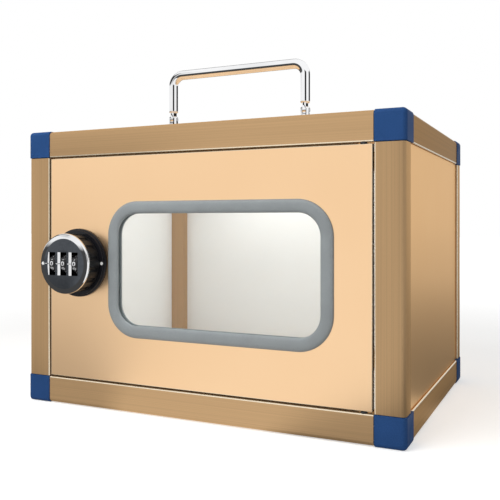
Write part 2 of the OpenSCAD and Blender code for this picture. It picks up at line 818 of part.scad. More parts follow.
// Cam plate that hangs down when unlocked
module lock_cam() {
    hole = spindle_square + 2 * running_clear;
    color(zinc) at_lock() translate([0, 0, -cam_back]) linear_extrude(cam_t) difference() {
        translate([0, (cam_w / 2 - cam_reach) / 2])
            rounded_rect(cam_w, cam_reach + cam_w / 2, cam_w / 4);
        square(hole, center = true);
    }
}

module cam_washer() {
    color(zinc) at_lock() translate([0, 0, -cam_back - cam_washer_t]) difference() {
        cylinder(d = cam_washer_d, h = cam_washer_t);
        translate([0, 0, -eps])
            cylinder(d = cam_screw_d + 2 * screw_clear, h = cam_washer_t + 2 * eps);
    }
}

module cam_screw() {
    seat = -cam_back - cam_washer_t;
    color(zinc) at_lock() {
        translate([0, 0, seat - eps])
            cylinder(d = cam_screw_d, h = cam_washer_t + cam_screw_len + eps);
        difference() {
            translate([0, 0, seat - cam_head_t]) cylinder(d = cam_head_d, h = cam_head_t);
            translate([0, 0, seat - cam_head_t - eps])
                cylinder(d = cam_head_d / 2, h = cam_head_t / 2, $fn = 6);
        }
    }
}

corner_cap(left, front, bottom);  // corner_front_left_bottom
corner_cap(right, front, bottom);  // corner_front_right_bottom
corner_cap(left, rear, bottom);  // corner_rear_left_bottom
corner_cap(right, rear, bottom);  // corner_rear_right_bottom
corner_cap(left, front, top);  // corner_front_left_top
corner_cap(right, front, top);  // corner_front_right_top
corner_cap(left, rear, top);  // corner_rear_left_top
corner_cap(right, rear, top);  // corner_rear_right_top
rail_front_node(bottom);  // rail_front_bottom
rail_front_node(top);  // rail_front_top
rail_rear_node(bottom);  // rail_rear_bottom
rail_rear_node(top);  // rail_rear_top
rail_side_node(left, bottom);  // rail_left_bottom
rail_side_node(left, top);  // rail_left_top
rail_side_node(right, bottom);  // rail_right_bottom
rail_side_node(right, top);  // rail_right_top
post_front_node(left);  // post_front_left
post_front_node(right);  // post_front_right
post_rear_node(left);  // post_rear_left
post_rear_node(right);  // post_rear_right
panel_side(left);  // panel_left
panel_side(right);  // panel_right
panel_rear();
panel_top();
panel_bottom();
hinge_bush(top);  // hinge_bush_upper
hinge_bush(bottom);  // hinge_bush_lower
handle_post(left);  // handle_post_left
handle_post(right);  // handle_post_right
handle_pin(left);  // handle_pin_left
handle_pin(right);  // handle_pin_right
handle_screws();
handle_washers();
handle_bar();
door_panel();
window_gasket();
window_pane();
hinge_pin(top);  // hinge_pin_upper
hinge_pin(bottom);  // hinge_pin_lower
lock_housing();
lock_washer();
lock_nut();
housing_dot();
knob_body();
knob_face();
face_dot();
wheel_axle();
number_wheel(-1);  // number_wheel_left
number_wheel(0);  // number_wheel_middle
number_wheel(1);  // number_wheel_right
spindle();
lock_cam();
cam_washer();
cam_screw();
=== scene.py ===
import math

import bmesh
import bpy
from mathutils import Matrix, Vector


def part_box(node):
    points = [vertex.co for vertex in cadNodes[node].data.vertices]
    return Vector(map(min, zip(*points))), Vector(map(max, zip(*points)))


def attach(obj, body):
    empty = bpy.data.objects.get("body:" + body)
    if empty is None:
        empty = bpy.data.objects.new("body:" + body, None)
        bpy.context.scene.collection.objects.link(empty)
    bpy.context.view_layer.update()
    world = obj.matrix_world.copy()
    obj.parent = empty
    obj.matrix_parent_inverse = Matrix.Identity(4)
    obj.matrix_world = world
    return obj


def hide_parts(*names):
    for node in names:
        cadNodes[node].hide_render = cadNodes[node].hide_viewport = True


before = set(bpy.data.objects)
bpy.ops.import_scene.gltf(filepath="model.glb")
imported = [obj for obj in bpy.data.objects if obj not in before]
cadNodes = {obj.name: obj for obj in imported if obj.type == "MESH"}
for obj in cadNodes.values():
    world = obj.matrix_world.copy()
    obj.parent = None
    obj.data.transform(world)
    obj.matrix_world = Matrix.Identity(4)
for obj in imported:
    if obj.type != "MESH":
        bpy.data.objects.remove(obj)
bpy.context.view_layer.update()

scene = bpy.context.scene
mm = 0.001
quarterTurn = math.pi / 2
fullTurn = 2 * math.pi
xAxis, yAxis, zAxis = range(3)
touch = 0.02 * mm  # how near two places count as the same
past = 9.0  # how far a cutter reaches past what it cuts, in millimetres
white = (1.0, 1.0, 1.0)
noiseRange = (0.3, 0.7)  # where most values of a noise lie


# selecting and editing

def at(x, y, z):
    return Vector((x, y, z)) * mm


def deselectAll():
    if bpy.context.mode != "OBJECT":
        bpy.ops.object.mode_set(mode="OBJECT")
    bpy.ops.object.select_all(action="DESELECT")


def activate(piece):
    deselectAll()
    piece.select_set(True)
    bpy.context.view_layer.objects.active = piece


def openMesh(piece):
    activate(piece)
    bpy.ops.object.mode_set(mode="EDIT")


def closeMesh():
    bpy.ops.object.mode_set(mode="OBJECT")


def boxOf(node):  # a node's low and high corner in millimetres
    low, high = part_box(node)
    return [v / mm for v in low], [v / mm for v in high]


def centreOf(node):
    low, high = boxOf(node)
    return [(a + b) / 2 for a, b in zip(low, high)]


def settle():  # place, turn and scale go into the mesh
    bpy.ops.object.transform_apply(location=True, rotation=True, scale=True)


def named(name):
    piece = bpy.context.object
    piece.name = name
    piece.data.name = name
    return piece


def middle(part):
    return sum((v.co for v in part.verts), Vector()) / len(part.verts)


def pick(kind, test):
    mesh = bpy.context.object.data
    bpy.ops.mesh.select_mode(type=kind)
    bpy.ops.mesh.select_all(action="DESELECT")
    shape = bmesh.from_edit_mesh(mesh)
    parts = {"VERT": shape.verts, "EDGE": shape.edges, "FACE": shape.faces}[kind]
    for part in parts:
        if test(part):
            part.select_set(True)
    shape.select_flush_mode()
    bmesh.update_edit_mesh(mesh)


def near(a, b):
    return abs(a - b) < touch


def onPlane(part, axis, place):
    return all(near(v.co[axis], place * mm) for v in part.verts)


def extrudeEdges(move):
    bpy.ops.mesh.extrude_edges_move(TRANSFORM_OT_translate={"value": move})


def extrudeFaces(move):
    bpy.ops.mesh.extrude_region_move(TRANSFORM_OT_translate={"value": move})


def sweepQuarter(centre, steps):  # turns the selected outline clockwise, seen from the front
    bpy.ops.mesh.spin(steps=steps, angle=-quarterTurn, axis=(0, 1, 0), center=centre)


def bevelEdges(width, steps, slot=-1):  # slot: the new faces' material, -1 keeps the old one
    bpy.ops.mesh.bevel(offset=width * mm, segments=steps, affect="EDGES", material=slot)


def paint(slot):  # gives the selected faces one of the piece's materials
    bpy.context.object.active_material_index = slot
    bpy.ops.object.material_slot_assign()


def addBlock(name, low, high):  # a box between two corners in millimetres
    deselectAll()
    bpy.ops.mesh.primitive_cube_add(size=1, location=(at(*low) + at(*high)) / 2)
    piece = named(name)
    piece.scale = at(*high) - at(*low)
    settle()
    return piece


def addRod(name, start, end, radius, sides=48):  # a cylinder between two points in millimetres
    deselectAll()
    along = at(*end) - at(*start)
    turn = Vector((0, 0, 1)).rotation_difference(along).to_euler()
    bpy.ops.mesh.primitive_cylinder_add(
        vertices=sides, radius=radius * mm, depth=along.length, end_fill_type="NGON",
        location=(at(*start) + at(*end)) / 2, rotation=turn)
    piece = named(name)
    settle()
    return piece


def traceChain(name, points, closed=False):  # a chain of edges drawn point by point
    deselectAll()
    bpy.ops.mesh.primitive_plane_add(size=mm, location=points[0])
    piece = named(name)
    settle()
    openMesh(piece)
    bpy.ops.mesh.select_mode(type="VERT")
    bpy.ops.mesh.select_all(action="SELECT")
    bpy.ops.mesh.merge(type="CENTER")
    for last, new in zip(points, points[1:]):
        bpy.ops.mesh.extrude_vertices_move(TRANSFORM_OT_translate={"value": new - last})
    if closed:
        pick("VERT", lambda v: len(v.link_edges) == 1)
        bpy.ops.mesh.edge_face_add()
    bpy.ops.mesh.select_all(action="SELECT")
    return piece


def closeSkin():  # joins seams and poles and turns the faces outwards
    bpy.ops.mesh.select_all(action="SELECT")
    bpy.ops.mesh.remove_doubles(threshold=touch / 4)
    bpy.ops.mesh.normals_make_consistent(inside=False)


def addLathe(name, section, centre, axis, steps=128):  # section holds points (radius, along axis)
    along = Vector(axis)
    side = Vector((1, 0, 0)) if abs(along.x) < 0.5 else Vector((0, 1, 0))
    foot = at(*centre)
    points = [foot + side * (r * mm) + along * (z * mm) for r, z in section]
    piece = traceChain(name, points, closed=section[0][0] > 0)
    bpy.ops.mesh.spin(steps=steps, angle=fullTurn, center=foot, axis=along)
    closeSkin()
    closeMesh()
    return piece


def carve(piece, cutter, kind="DIFFERENCE"):
    activate(piece)
    cut = piece.modifiers.new("carve", "BOOLEAN")
    cut.operation = kind
    cut.solver = "EXACT"
    cut.object = cutter
    bpy.ops.object.modifier_apply(modifier=cut.name)
    bpy.data.objects.remove(cutter, do_unlink=True)


def soften(piece, width, segments=2, angle=50):  # rounds every sharp edge a little
    activate(piece)
    edge = piece.modifiers.new("softEdge", "BEVEL")
    edge.width = width * mm
    edge.segments = segments
    edge.limit_method = "ANGLE"
    edge.angle_limit = math.radians(angle)
    bpy.ops.object.modifier_apply(modifier=edge.name)


def shade(piece, angle=35):
    activate(piece)
    bpy.ops.object.shade_smooth_by_angle(angle=math.radians(angle))
    weigh = piece.modifiers.new("weigh", "WEIGHTED_NORMAL")
    weigh.keep_sharp = True
    bpy.ops.object.modifier_apply(modifier=weigh.name)


def copyPiece(piece, name):
    activate(piece)
    bpy.ops.object.duplicate(linked=False)
    return named(name)


def copyMirrored(piece, name, centre, flips):  # flips holds 1 for each axis to mirror
    twin = copyPiece(piece, name)
    twin.scale = [-1 if flip else 1 for flip in flips]
    twin.location = [2 * c * mm if flip else 0 for c, flip in zip(centre, flips)]
    settle()
    openMesh(twin)
    bpy.ops.mesh.select_all(action="SELECT")
    bpy.ops.mesh.normals_make_consistent(inside=False)
    closeMesh()
    return twin


def addFinishes(piece, *finishes):
    for finish in finishes:
        piece.data.materials.append(finish)


def finishPiece(piece, body, stands=(), finish=None):  # without finish: it has its own already
    if finish:
        piece.data.materials.clear()
        piece.data.materials.append(finish)
    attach(piece, body)
    if stands:
        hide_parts(*stands)


def dress(finish, *nodes):  # solids that keep their own mesh
    for node in nodes:
        cadNodes[node].data.materials.clear()
        cadNodes[node].data.materials.append(finish)


# finishes: every pattern reads Object coordinates

def emptyFinish(name):
    finish = bpy.data.materials.new(name)
    finish.use_nodes = True
    tree = finish.node_tree
    tree.nodes.clear()
    out = tree.nodes.new("ShaderNodeOutputMaterial")
    return finish, tree, out.inputs["Surface"]


def newFinish(name):
    finish, tree, surface = emptyFinish(name)
    skin = tree.nodes.new("ShaderNodeBsdfPrincipled")
    tree.links.new(skin.outputs["BSDF"], surface)
    return finish, tree, skin


def addNode(tree, kind, **values):
    node = tree.nodes.new("ShaderNode" + kind)
    for key, value in values.items():
        if key in node.inputs:
            node.inputs[key].default_value = value
        else:
            setattr(node, key, value)
    return node


def feed(tree, socket, value):  # links another node's output or sets a plain value
    if isinstance(value, bpy.types.NodeSocket):
        tree.links.new(value, socket)
    else:
        socket.default_value = value


def calc(tree, operation, *values):
    node = addNode(tree, "Math", operation=operation)
    for socket, value in zip(node.inputs, values):
        feed(tree, socket, value)
    return node.outputs[0]


def calcVector(tree, operation, result, *values):
    node = addNode(tree, "VectorMath", operation=operation)
    for socket, value in zip(node.inputs, values):
        feed(tree, socket, value)
    return node.outputs[result]


def noiseAt(tree, stretch, detail=3.0, roughness=0.55):  # stretch: repeats per metre on each axis
    coords = addNode(tree, "TexCoord")
    turn = addNode(tree, "Mapping", Scale=stretch)
    noise = addNode(tree, "TexNoise", Scale=1.0, Detail=detail, Roughness=roughness)
    tree.links.new(coords.outputs["Object"], turn.inputs["Vector"])
    tree.links.new(turn.outputs["Vector"], noise.inputs["Vector"])
    return noise.outputs["Fac"]


def ramp(tree, source, dark, light, limits=noiseRange):  # a soft run between two colours
    band = addNode(tree, "ValToRGB")
    for stop, place, colour in zip(band.color_ramp.elements, limits, (dark, light)):
        stop.position = place
        stop.color = (*colour, 1)
    tree.links.new(source, band.inputs["Fac"])
    return band.outputs["Color"]


def span(tree, source, limits, results):  # a number that runs from one result to the other
    change = addNode(tree, "MapRange")
    for socket, value in zip(("From Min", "From Max", "To Min", "To Max"), (*limits, *results)):
        change.inputs[socket].default_value = value
    tree.links.new(source, change.inputs["Value"])
    return change.outputs["Result"]


def grey(level):
    return (level, level, level)


def mixColour(tree, factor, first, second, blend="MIX"):
    mix = addNode(tree, "Mix", data_type="RGBA", blend_type=blend)
    feed(tree, mix.inputs[0], factor)
    for socket, value in ((6, first), (7, second)):
        plain = not isinstance(value, bpy.types.NodeSocket)
        feed(tree, mix.inputs[socket], (*value, 1) if plain else value)
    return mix.outputs[2]


def mixShaders(tree, factor, first, second, surface):
    mix = addNode(tree, "MixShader")
    for socket, source in zip(mix.inputs, (factor, first.outputs[0], second.outputs[0])):
        tree.links.new(source, socket)
    tree.links.new(mix.outputs[0], surface)


def bump(tree, skin, source, strength, depth):
    relief = addNode(tree, "Bump", Strength=strength, Distance=depth * mm)
    tree.links.new(source, relief.inputs["Height"])
    tree.links.new(relief.outputs["Normal"], skin.inputs["Normal"])


# the specular tint is per axis of the grain; the duller tint along Y, which only the side rails carry, is
# painted shade on the box's side
champagne = dict(
    dark=(0.62, 0.402, 0.208), light=(0.74, 0.486, 0.258), band=0.90, bandRange=(0.32, 0.62),
    tint=((0.81, 0.63, 0.42), (0.60, 0.51, 0.41), (0.81, 0.63, 0.42)), anisotropic=0.9,
    rough=(0.42, 0.52), roughRange=(0.25, 0.75), grain=2300.0, bandWide=700.0, along=4.0,
    relief=(0.06, 0.03))


def brushedFinish(name, axis):  # anodised metal with the grain along one axis
    finish, tree, skin = newFinish(name)

    def drawnNoise(fine, along, detail, roughness):
        stretch = [fine] * 3
        stretch[axis] = along
        return noiseAt(tree, stretch, detail, roughness)

    streak = drawnNoise(champagne["grain"], champagne["along"], detail=4.0, roughness=0.7)
    bands = drawnNoise(champagne["bandWide"], champagne["along"] / 3, detail=3.0, roughness=0.6)
    tone = ramp(tree, streak, champagne["dark"], champagne["light"])
    shadow = ramp(tree, bands, grey(champagne["band"]), white, champagne["bandRange"])
    tree.links.new(mixColour(tree, 1.0, tone, shadow, "MULTIPLY"), skin.inputs["Base Color"])
    rough = span(tree, streak, champagne["roughRange"], champagne["rough"])
    tree.links.new(rough, skin.inputs["Roughness"])
    skin.inputs["Metallic"].default_value = 1.0
    skin.inputs["Specular Tint"].default_value = (*champagne["tint"][axis], 1)
    skin.inputs["Anisotropic"].default_value = champagne["anisotropic"]
    around = addNode(tree, "Tangent", direction_type="RADIAL", axis="XYZ"[axis])
    tree.links.new(around.outputs[0], skin.inputs["Tangent"])
    bump(tree, skin, streak, *champagne["relief"])
    return finish


# pale tones of the bare edge metal, which also paint the edges' highlight lines
bareEdgeAndHighlightTone = dict(
    dark=(0.86, 0.72, 0.53), light=(0.95, 0.83, 0.65), rough=(0.16, 0.30), grain=420.0, relief=(0.05, 0.02))


def edgeFinish():  # bare bright metal on the chamfers, paler than the anodising so that its colour also paints the edges' highlight lines
    finish, tree, skin = newFinish("champagneBareEdgeAndHighlight")
    grain = noiseAt(tree, grey(bareEdgeAndHighlightTone["grain"]))
    tone = ramp(tree, grain, bareEdgeAndHighlightTone["dark"], bareEdgeAndHighlightTone["light"])
    tree.links.new(tone, skin.inputs["Base Color"])
    tree.links.new(span(tree, grain, noiseRange, bareEdgeAndHighlightTone["rough"]), skin.inputs["Roughness"])
    skin.inputs["Metallic"].default_value = 1.0
    bump(tree, skin, grain, *bareEdgeAndHighlightTone["relief"])
    return finish


satinSheet = dict(
    dark=(0.96, 0.648, 0.376), light=(0.985, 0.676, 0.402), rough=(0.28, 0.32), tint=(0.97, 0.80, 0.57),
    brush=(900.0, 900.0, 40.0), cloud=9.0, relief=(0.02, 0.008),
    lining=(0.84, 0.84, 0.83), liningWorn=0.96, liningRough=(0.40, 0.55))


def sheetFinish(name, centre):  # satin metal outside, pale lining on the faces towards centre
    finish, tree, skin = newFinish(name)
    coords = addNode(tree, "TexCoord").outputs
    fine = noiseAt(tree, satinSheet["brush"])
    cloud = noiseAt(tree, grey(satinSheet["cloud"]), detail=2.0)
    outward = calcVector(tree, "SUBTRACT", "Vector", coords["Object"], at(*centre))
    facing = calcVector(tree, "DOT_PRODUCT", "Value", outward, coords["Normal"])
    inside = calc(tree, "LESS_THAN", facing, 0.0)
    metal = ramp(tree, cloud, satinSheet["dark"], satinSheet["light"])
    pale = satinSheet["lining"]
    lining = ramp(tree, cloud, [satinSheet["liningWorn"] * c for c in pale], pale)
    tree.links.new(mixColour(tree, inside, metal, lining), skin.inputs["Base Color"])
    rough = addNode(tree, "Mix", data_type="FLOAT")
    tree.links.new(inside, rough.inputs[0])
    tree.links.new(span(tree, fine, noiseRange, satinSheet["rough"]), rough.inputs[2])
    tree.links.new(span(tree, fine, noiseRange, satinSheet["liningRough"]), rough.inputs[3])
    tree.links.new(rough.outputs[0], skin.inputs["Roughness"])
    tree.links.new(calc(tree, "SUBTRACT", 1.0, inside), skin.inputs["Metallic"])
    skin.inputs["Specular Tint"].default_value = (*satinSheet["tint"], 1)
    bump(tree, skin, fine, *satinSheet["relief"])
    return finish


worn = dict(level=0.88, wide=25, relief=(0.05, 0.03))  # wide: how many grains a cloud spans


def plainFinish(name, dark, light, scale, rough, metallic=0.0, relief=worn["relief"], gloss=0.5):
    finish, tree, skin = newFinish(name)
    grain = noiseAt(tree, grey(scale), detail=4.0)
    cloud = noiseAt(tree, grey(scale / worn["wide"]), detail=2.0)
    tone = ramp(tree, grain, dark, light)
    wear = ramp(tree, cloud, grey(worn["level"]), white)
    tree.links.new(mixColour(tree, 1.0, tone, wear, "MULTIPLY"), skin.inputs["Base Color"])
    if rough[0] == rough[1]:
        skin.inputs["Roughness"].default_value = rough[0]
    else:
        tree.links.new(span(tree, cloud, noiseRange, rough), skin.inputs["Roughness"])
    skin.inputs["Metallic"].default_value = metallic
    skin.inputs["Specular IOR Level"].default_value = gloss
    bump(tree, skin, grain, *relief)
    return finish


pane = dict(tint=(0.95, 0.97, 0.97), smear=30.0, rough=(0.01, 0.06), bend=1.45)


def paneFinish():  # clear sheet: sees through, with a mirror that grows towards the edge-on view
    finish, tree, surface = emptyFinish("clearPane")
    clear = addNode(tree, "BsdfTransparent", Color=(*pane["tint"], 1))
    mirror = addNode(tree, "BsdfGlossy")
    smear = noiseAt(tree, grey(pane["smear"]))
    tree.links.new(span(tree, smear, noiseRange, pane["rough"]), mirror.inputs["Roughness"])
    side = addNode(tree, "NewGeometry").outputs["Backfacing"]
    share = addNode(tree, "Fresnel")  # a thin sheet bends no light, so both sides mirror alike
    tree.links.new(span(tree, side, (0.0, 1.0), (pane["bend"], 1 / pane["bend"])), share.inputs["IOR"])
    mixShaders(tree, share.outputs["Fac"], clear, mirror, surface)
    return finish


# planes of the case, read from its solids
outerLow = boxOf("corner_front_left_bottom")[0]
outerHigh = boxOf("corner_rear_right_top")[1]
safeMiddle = [(a + b) / 2 for a, b in zip(outerLow, outerHigh)]
doorLow, doorHigh = boxOf("door_panel")
brushUp = brushedFinish("champagneBrushedUp", zAxis)
brushAcross = brushedFinish("champagneBrushedAcross", xAxis)
# the side rails' duller specular tint along Y paints shade on the box's sides
brushAlongSideShade = brushedFinish("champagneBrushedAlongSideShade", yAxis)
bareEdgeAndHighlight = edgeFinish()
panelSheet = sheetFinish("satinPanel", safeMiddle)
doorSheet = sheetFinish("satinDoor", centreOf("door_panel"))
capBlue = plainFinish(
    "capBlue", (0.020, 0.064, 0.190), (0.029, 0.086, 0.245), 1400, (0.44, 0.54),
    relief=(0.08, 0.03), gloss=0.05)
rubberGrey = plainFinish(
    "rubberGrey", (0.255, 0.28, 0.29), (0.31, 0.335, 0.345), 1600, (0.45, 0.58), relief=(0.10, 0.03))
mirrorChrome = plainFinish(
    "mirrorChrome", (0.90, 0.91, 0.92), (0.95, 0.95, 0.96), 900, (0.0, 0.0), 1.0, (0.01, 0.003))
# dark smoked chrome: its dark colour also paints the dark reflection on the plate's face and the shade in
# its slots
smokedChromeDarkReflection = plainFinish(
    "smokedChromeDarkReflection", (0.066, 0.073, 0.083), (0.086, 0.094, 0.106), 900, (0.05, 0.11), 1.0, (0.02, 0.005))
bevelChrome = plainFinish(
    "bevelChrome", (0.86, 0.87, 0.88), (0.92, 0.92, 0.93), 900, (0.22, 0.30), 1.0, (0.02, 0.005))
glossBlack = plainFinish(
    "glossBlack", (0.006, 0.006, 0.008), (0.012, 0.012, 0.015), 1200, (0.10, 0.20), gloss=0.25)
gripBlack = plainFinish(
    "gripBlack", (0.006, 0.006, 0.007), (0.012, 0.012, 0.013), 1200, (0.34, 0.46),
    relief=(0.08, 0.03), gloss=0.35)
wheelBlack = plainFinish("wheelBlack", (0.010, 0.010, 0.012), (0.018, 0.018, 0.020), 1500, (0.28, 0.42))
zincSteel = plainFinish("zincSteel", (0.50, 0.51, 0.53), (0.62, 0.63, 0.64), 1100, (0.22, 0.36), 1.0)
nylonBlack = plainFinish("nylonBlack", (0.02, 0.02, 0.022), (0.035, 0.035, 0.037), 1300, (0.45, 0.6))
enamelWhite = plainFinish("enamelWhite", (0.82, 0.82, 0.81), (0.90, 0.90, 0.89), 1500, (0.30, 0.42))
digitSilver = plainFinish("digitSilver", (0.80, 0.81, 0.82), (0.90, 0.90, 0.91), 1500, (0.28, 0.40), 1.0)
clearPane = paneFinish()
print("finishes made")


# corner caps: one is modelled at the front left bottom, seven are mirrored from it
cap = dict(
    size=20.5, round=3.0, steps=8, soft=0.35, spigotFrom=7.8, spigotBroad=18.9, spigotNarrow=12.9,
    spigotSoft=0.8, root=1.5, reach=18)
broadAxis = (zAxis, zAxis, xAxis)  # the broad side of the spigot that points along each axis


def modelCap(name):
    low = outerLow
    high = [v + cap["size"] for v in low]
    piece = addBlock(name, low, high)
    openMesh(piece)
    pick("EDGE", lambda e: sum(onPlane(e, axis, low[axis]) for axis in range(3)) == 2)
    bevelEdges(cap["round"], cap["steps"])
    closeMesh()
    soften(piece, cap["soft"])
    for axis, broad in enumerate(broadAxis):
        start = [v + cap["spigotFrom"] for v in low]
        end = [v + cap["spigotNarrow"] for v in low]
        end[broad] = low[broad] + cap["spigotBroad"]
        start[axis] = high[axis] - cap["root"]
        end[axis] = high[axis] + cap["reach"]
        spigot = addBlock("spigot", start, end)
        soften(spigot, cap["spigotSoft"], segments=1)
        carve(piece, spigot, "UNION")
    shade(piece)
    return piece


firstCap = modelCap("corner_cap_front_left_bottom")
caps = {"front_left_bottom": firstCap}
for side, across in (("left", 0), ("right", 1)):
    for face, deep in (("front", 0), ("rear", 1)):
        for level, up in (("bottom", 0), ("top", 1)):
            where, flips = f"{face}_{side}_{level}", (across, deep, up)
            if any(flips):
                caps[where] = copyMirrored(firstCap, "corner_cap_" + where, safeMiddle, flips)
for where, piece in caps.items():
    finishPiece(piece, "case", ["corner_" + where], capBlue)
print("corner caps modelled")


# frame profiles: bars with a round outer edge, grooves for the panels and fins for the door
bar = dict(
    broad=20, narrow=14, round=3.0, steps=8, lip=0.9, lipSteps=3, end=0.5, proud=0.5, soft=0.12,
    grooveFrom=1.5, grooveTo=5.7, grooveDeep=6, finFrom=4.8, finTo=6.3, finReach=8, finSpan=(-121.2, 117.7))
left, front, bottom = [v + bar["proud"] for v in outerLow]
bareEdgeAndHighlightSlot, coreAndGapShadeSlot = 1, 2  # places among the finishes of the bright edge, whose pale colour also paints edge highlights, and of the door's core, whose black also paints the shade in the door's gap


def sliceAt(axis, place):  # cuts what is selected on a plane
    normal = Vector((0, 0, 0))
    normal[axis] = 1
    bpy.ops.mesh.bisect(plane_co=normal * place * mm, plane_no=normal)


def pushStrip(face, faceAt, across, start, end, depth, ends=()):  # a groove (depth < 0) or a fin
    along = 3 - face - across
    for axis, places in ((across, (start, end)), (along, ends)):
        for place in places:
            pick("FACE", lambda f: onPlane(f, face, faceAt))
            sliceAt(axis, place)

    def inStrip(f):
        spot = middle(f) / mm
        inside = onPlane(f, face, faceAt) and start < spot[across] < end
        return inside and (not ends or ends[0] < spot[along] < ends[1])

    pick("FACE", inStrip)
    push = [0, 0, 0]
    push[face] = depth * mm
    extrudeFaces(push)


def modelBar(name, low, high, outer, strips, finish):  # outer: the two axes whose low sides are outside
    piece = addBlock(name, low, high)
    addFinishes(piece, finish, bareEdgeAndHighlight)
    openMesh(piece)
    pick("EDGE", lambda e: all(onPlane(e, axis, low[axis]) for axis in outer))
    bevelEdges(bar["round"], bar["steps"])
    for axis in outer:
        inner = sum(outer) - axis
        pick("EDGE", lambda e: onPlane(e, axis, low[axis]) and onPlane(e, inner, high[inner]))
        bevelEdges(bar["lip"], bar["lipSteps"], bareEdgeAndHighlightSlot)
    along = 3 - sum(outer)

    def onOuterRim(e):  # the end's rim on the two outer faces and the round between them
        spot = [middle(e)[a] / mm - low[a] for a in outer]
        outside = min(spot) < 2 * bar["lip"] or max(spot) < bar["round"]
        return outside and any(onPlane(e, along, end[along]) for end in (low, high))

    pick("EDGE", onOuterRim)
    bevelEdges(bar["end"], 1, bareEdgeAndHighlightSlot)
    for strip in strips:
        pushStrip(*strip)
    closeMesh()
    soften(piece, bar["soft"], segments=1, angle=60)
    shade(piece)
    return piece


def grooveOn(face, faceAt, across, outerAt):
    start, end = outerAt + bar["grooveFrom"], outerAt + bar["grooveTo"]
    return (face, faceAt, across, start, end, -bar["grooveDeep"])


def finOn(face, faceAt, *ends):
    return (face, faceAt, yAxis, front + bar["finFrom"], front + bar["finTo"], bar["finReach"], *ends)


profileEnd = cap["size"]
postLow = (left, front, profileEnd)
postHigh = (left + bar["broad"], front + bar["narrow"], outerHigh[2] - profileEnd)
sideGroove = grooveOn(yAxis, postHigh[yAxis], xAxis, left)
rearGroove = grooveOn(xAxis, postHigh[xAxis], yAxis, front)
postFin = finOn(xAxis, postHigh[xAxis])
railLow = (outerLow[0] + profileEnd, front, bottom)
railHigh = (outerHigh[0] - profileEnd, front + bar["narrow"], bottom + bar["broad"])
floorGroove = grooveOn(yAxis, railHigh[yAxis], zAxis, bottom)
backGroove = grooveOn(zAxis, railHigh[zAxis], yAxis, front)
railFin = finOn(zAxis, railHigh[zAxis], bar["finSpan"])
sideLow = (left, outerLow[1] + profileEnd, bottom)
sideHigh = (left + bar["narrow"], outerHigh[1] - profileEnd, bottom + bar["broad"])
sideFloorGroove = grooveOn(xAxis, sideHigh[xAxis], zAxis, bottom)
sideWallGroove = grooveOn(zAxis, sideHigh[zAxis], xAxis, left)

profiles = (
    # corners, outer axes, strips, finish, copies as name and flips
    (postLow, postHigh, (xAxis, yAxis), (sideGroove, postFin), brushUp,
     (("post_front_left", (0, 0, 0)),)),
    (postLow, postHigh, (xAxis, yAxis), (sideGroove,), brushUp,
     (("post_front_right", (1, 0, 0)),)),
    (postLow, postHigh, (xAxis, yAxis), (sideGroove, rearGroove), brushUp,
     (("post_rear_left", (0, 1, 0)), ("post_rear_right", (1, 1, 0)))),
    (railLow, railHigh, (yAxis, zAxis), (floorGroove, railFin), brushAcross,
     (("rail_front_bottom", (0, 0, 0)), ("rail_front_top", (0, 0, 1)))),
    (railLow, railHigh, (yAxis, zAxis), (floorGroove, backGroove), brushAcross,
     (("rail_rear_bottom", (0, 1, 0)), ("rail_rear_top", (0, 1, 1)))),
    (sideLow, sideHigh, (xAxis, zAxis), (sideFloorGroove, sideWallGroove), brushAlongSideShade,
     (("rail_left_bottom", (0, 0, 0)), ("rail_left_top", (0, 0, 1)),
      ("rail_right_bottom", (1, 0, 0)), ("rail_right_top", (1, 0, 1)))),
)
for *shape, copies in profiles:
    first = modelBar("bar", *shape)
    for node, flips in copies:
        if any(flips):
            piece = copyMirrored(first, "profile_" + node, safeMiddle, flips)
        else:
            piece = copyPiece(first, "profile_" + node)
        finishPiece(piece, "case", [node])
    bpy.data.objects.remove(first, do_unlink=True)
print("frame profiles modelled")


# panels: the sheets sit in the grooves and keep their solids
dress(panelSheet, "panel_left", "panel_right", "panel_rear", "panel_top", "panel_bottom")


# door: a sheet with soft front edges, the window and the hole of the barrel
doorSpec = dict(edge=0.5, steps=3, windowRoom=5.1, barrel=9.6, barrelSides=64, flats=8.1)
windowSpec = dict(band=9.0, round=16, steps=16)
gasketLow, gasketHigh = boxOf("window_gasket")
windowCentre = centreOf("window_gasket")
windowClear = [gasketHigh[a] - gasketLow[a] - 2 * windowSpec["band"] for a in (xAxis, zAxis)]
lockCentre = centreOf("lock_housing")
lockSpot = (lockCentre[0], doorLow[1], lockCentre[2])


def addRoundedSheet(name, size, radius, y, thick):  # a rounded rectangle standing in the door's plane
    place = at(windowCentre[0], y, windowCentre[2])
    deselectAll()
    bpy.ops.mesh.primitive_plane_add(size=1, location=place, rotation=(quarterTurn, 0, 0))
    piece = named(name)
    piece.scale = (size[0] * mm, size[1] * mm, 1)
    settle()
    openMesh(piece)
    bpy.ops.mesh.select_all(action="SELECT")
    bpy.ops.mesh.bevel(offset=radius * mm, segments=windowSpec["steps"], affect="VERTICES")
    bpy.ops.mesh.select_all(action="SELECT")
    extrudeFaces((0, thick * mm, 0))
    closeSkin()
    closeMesh()
    return piece


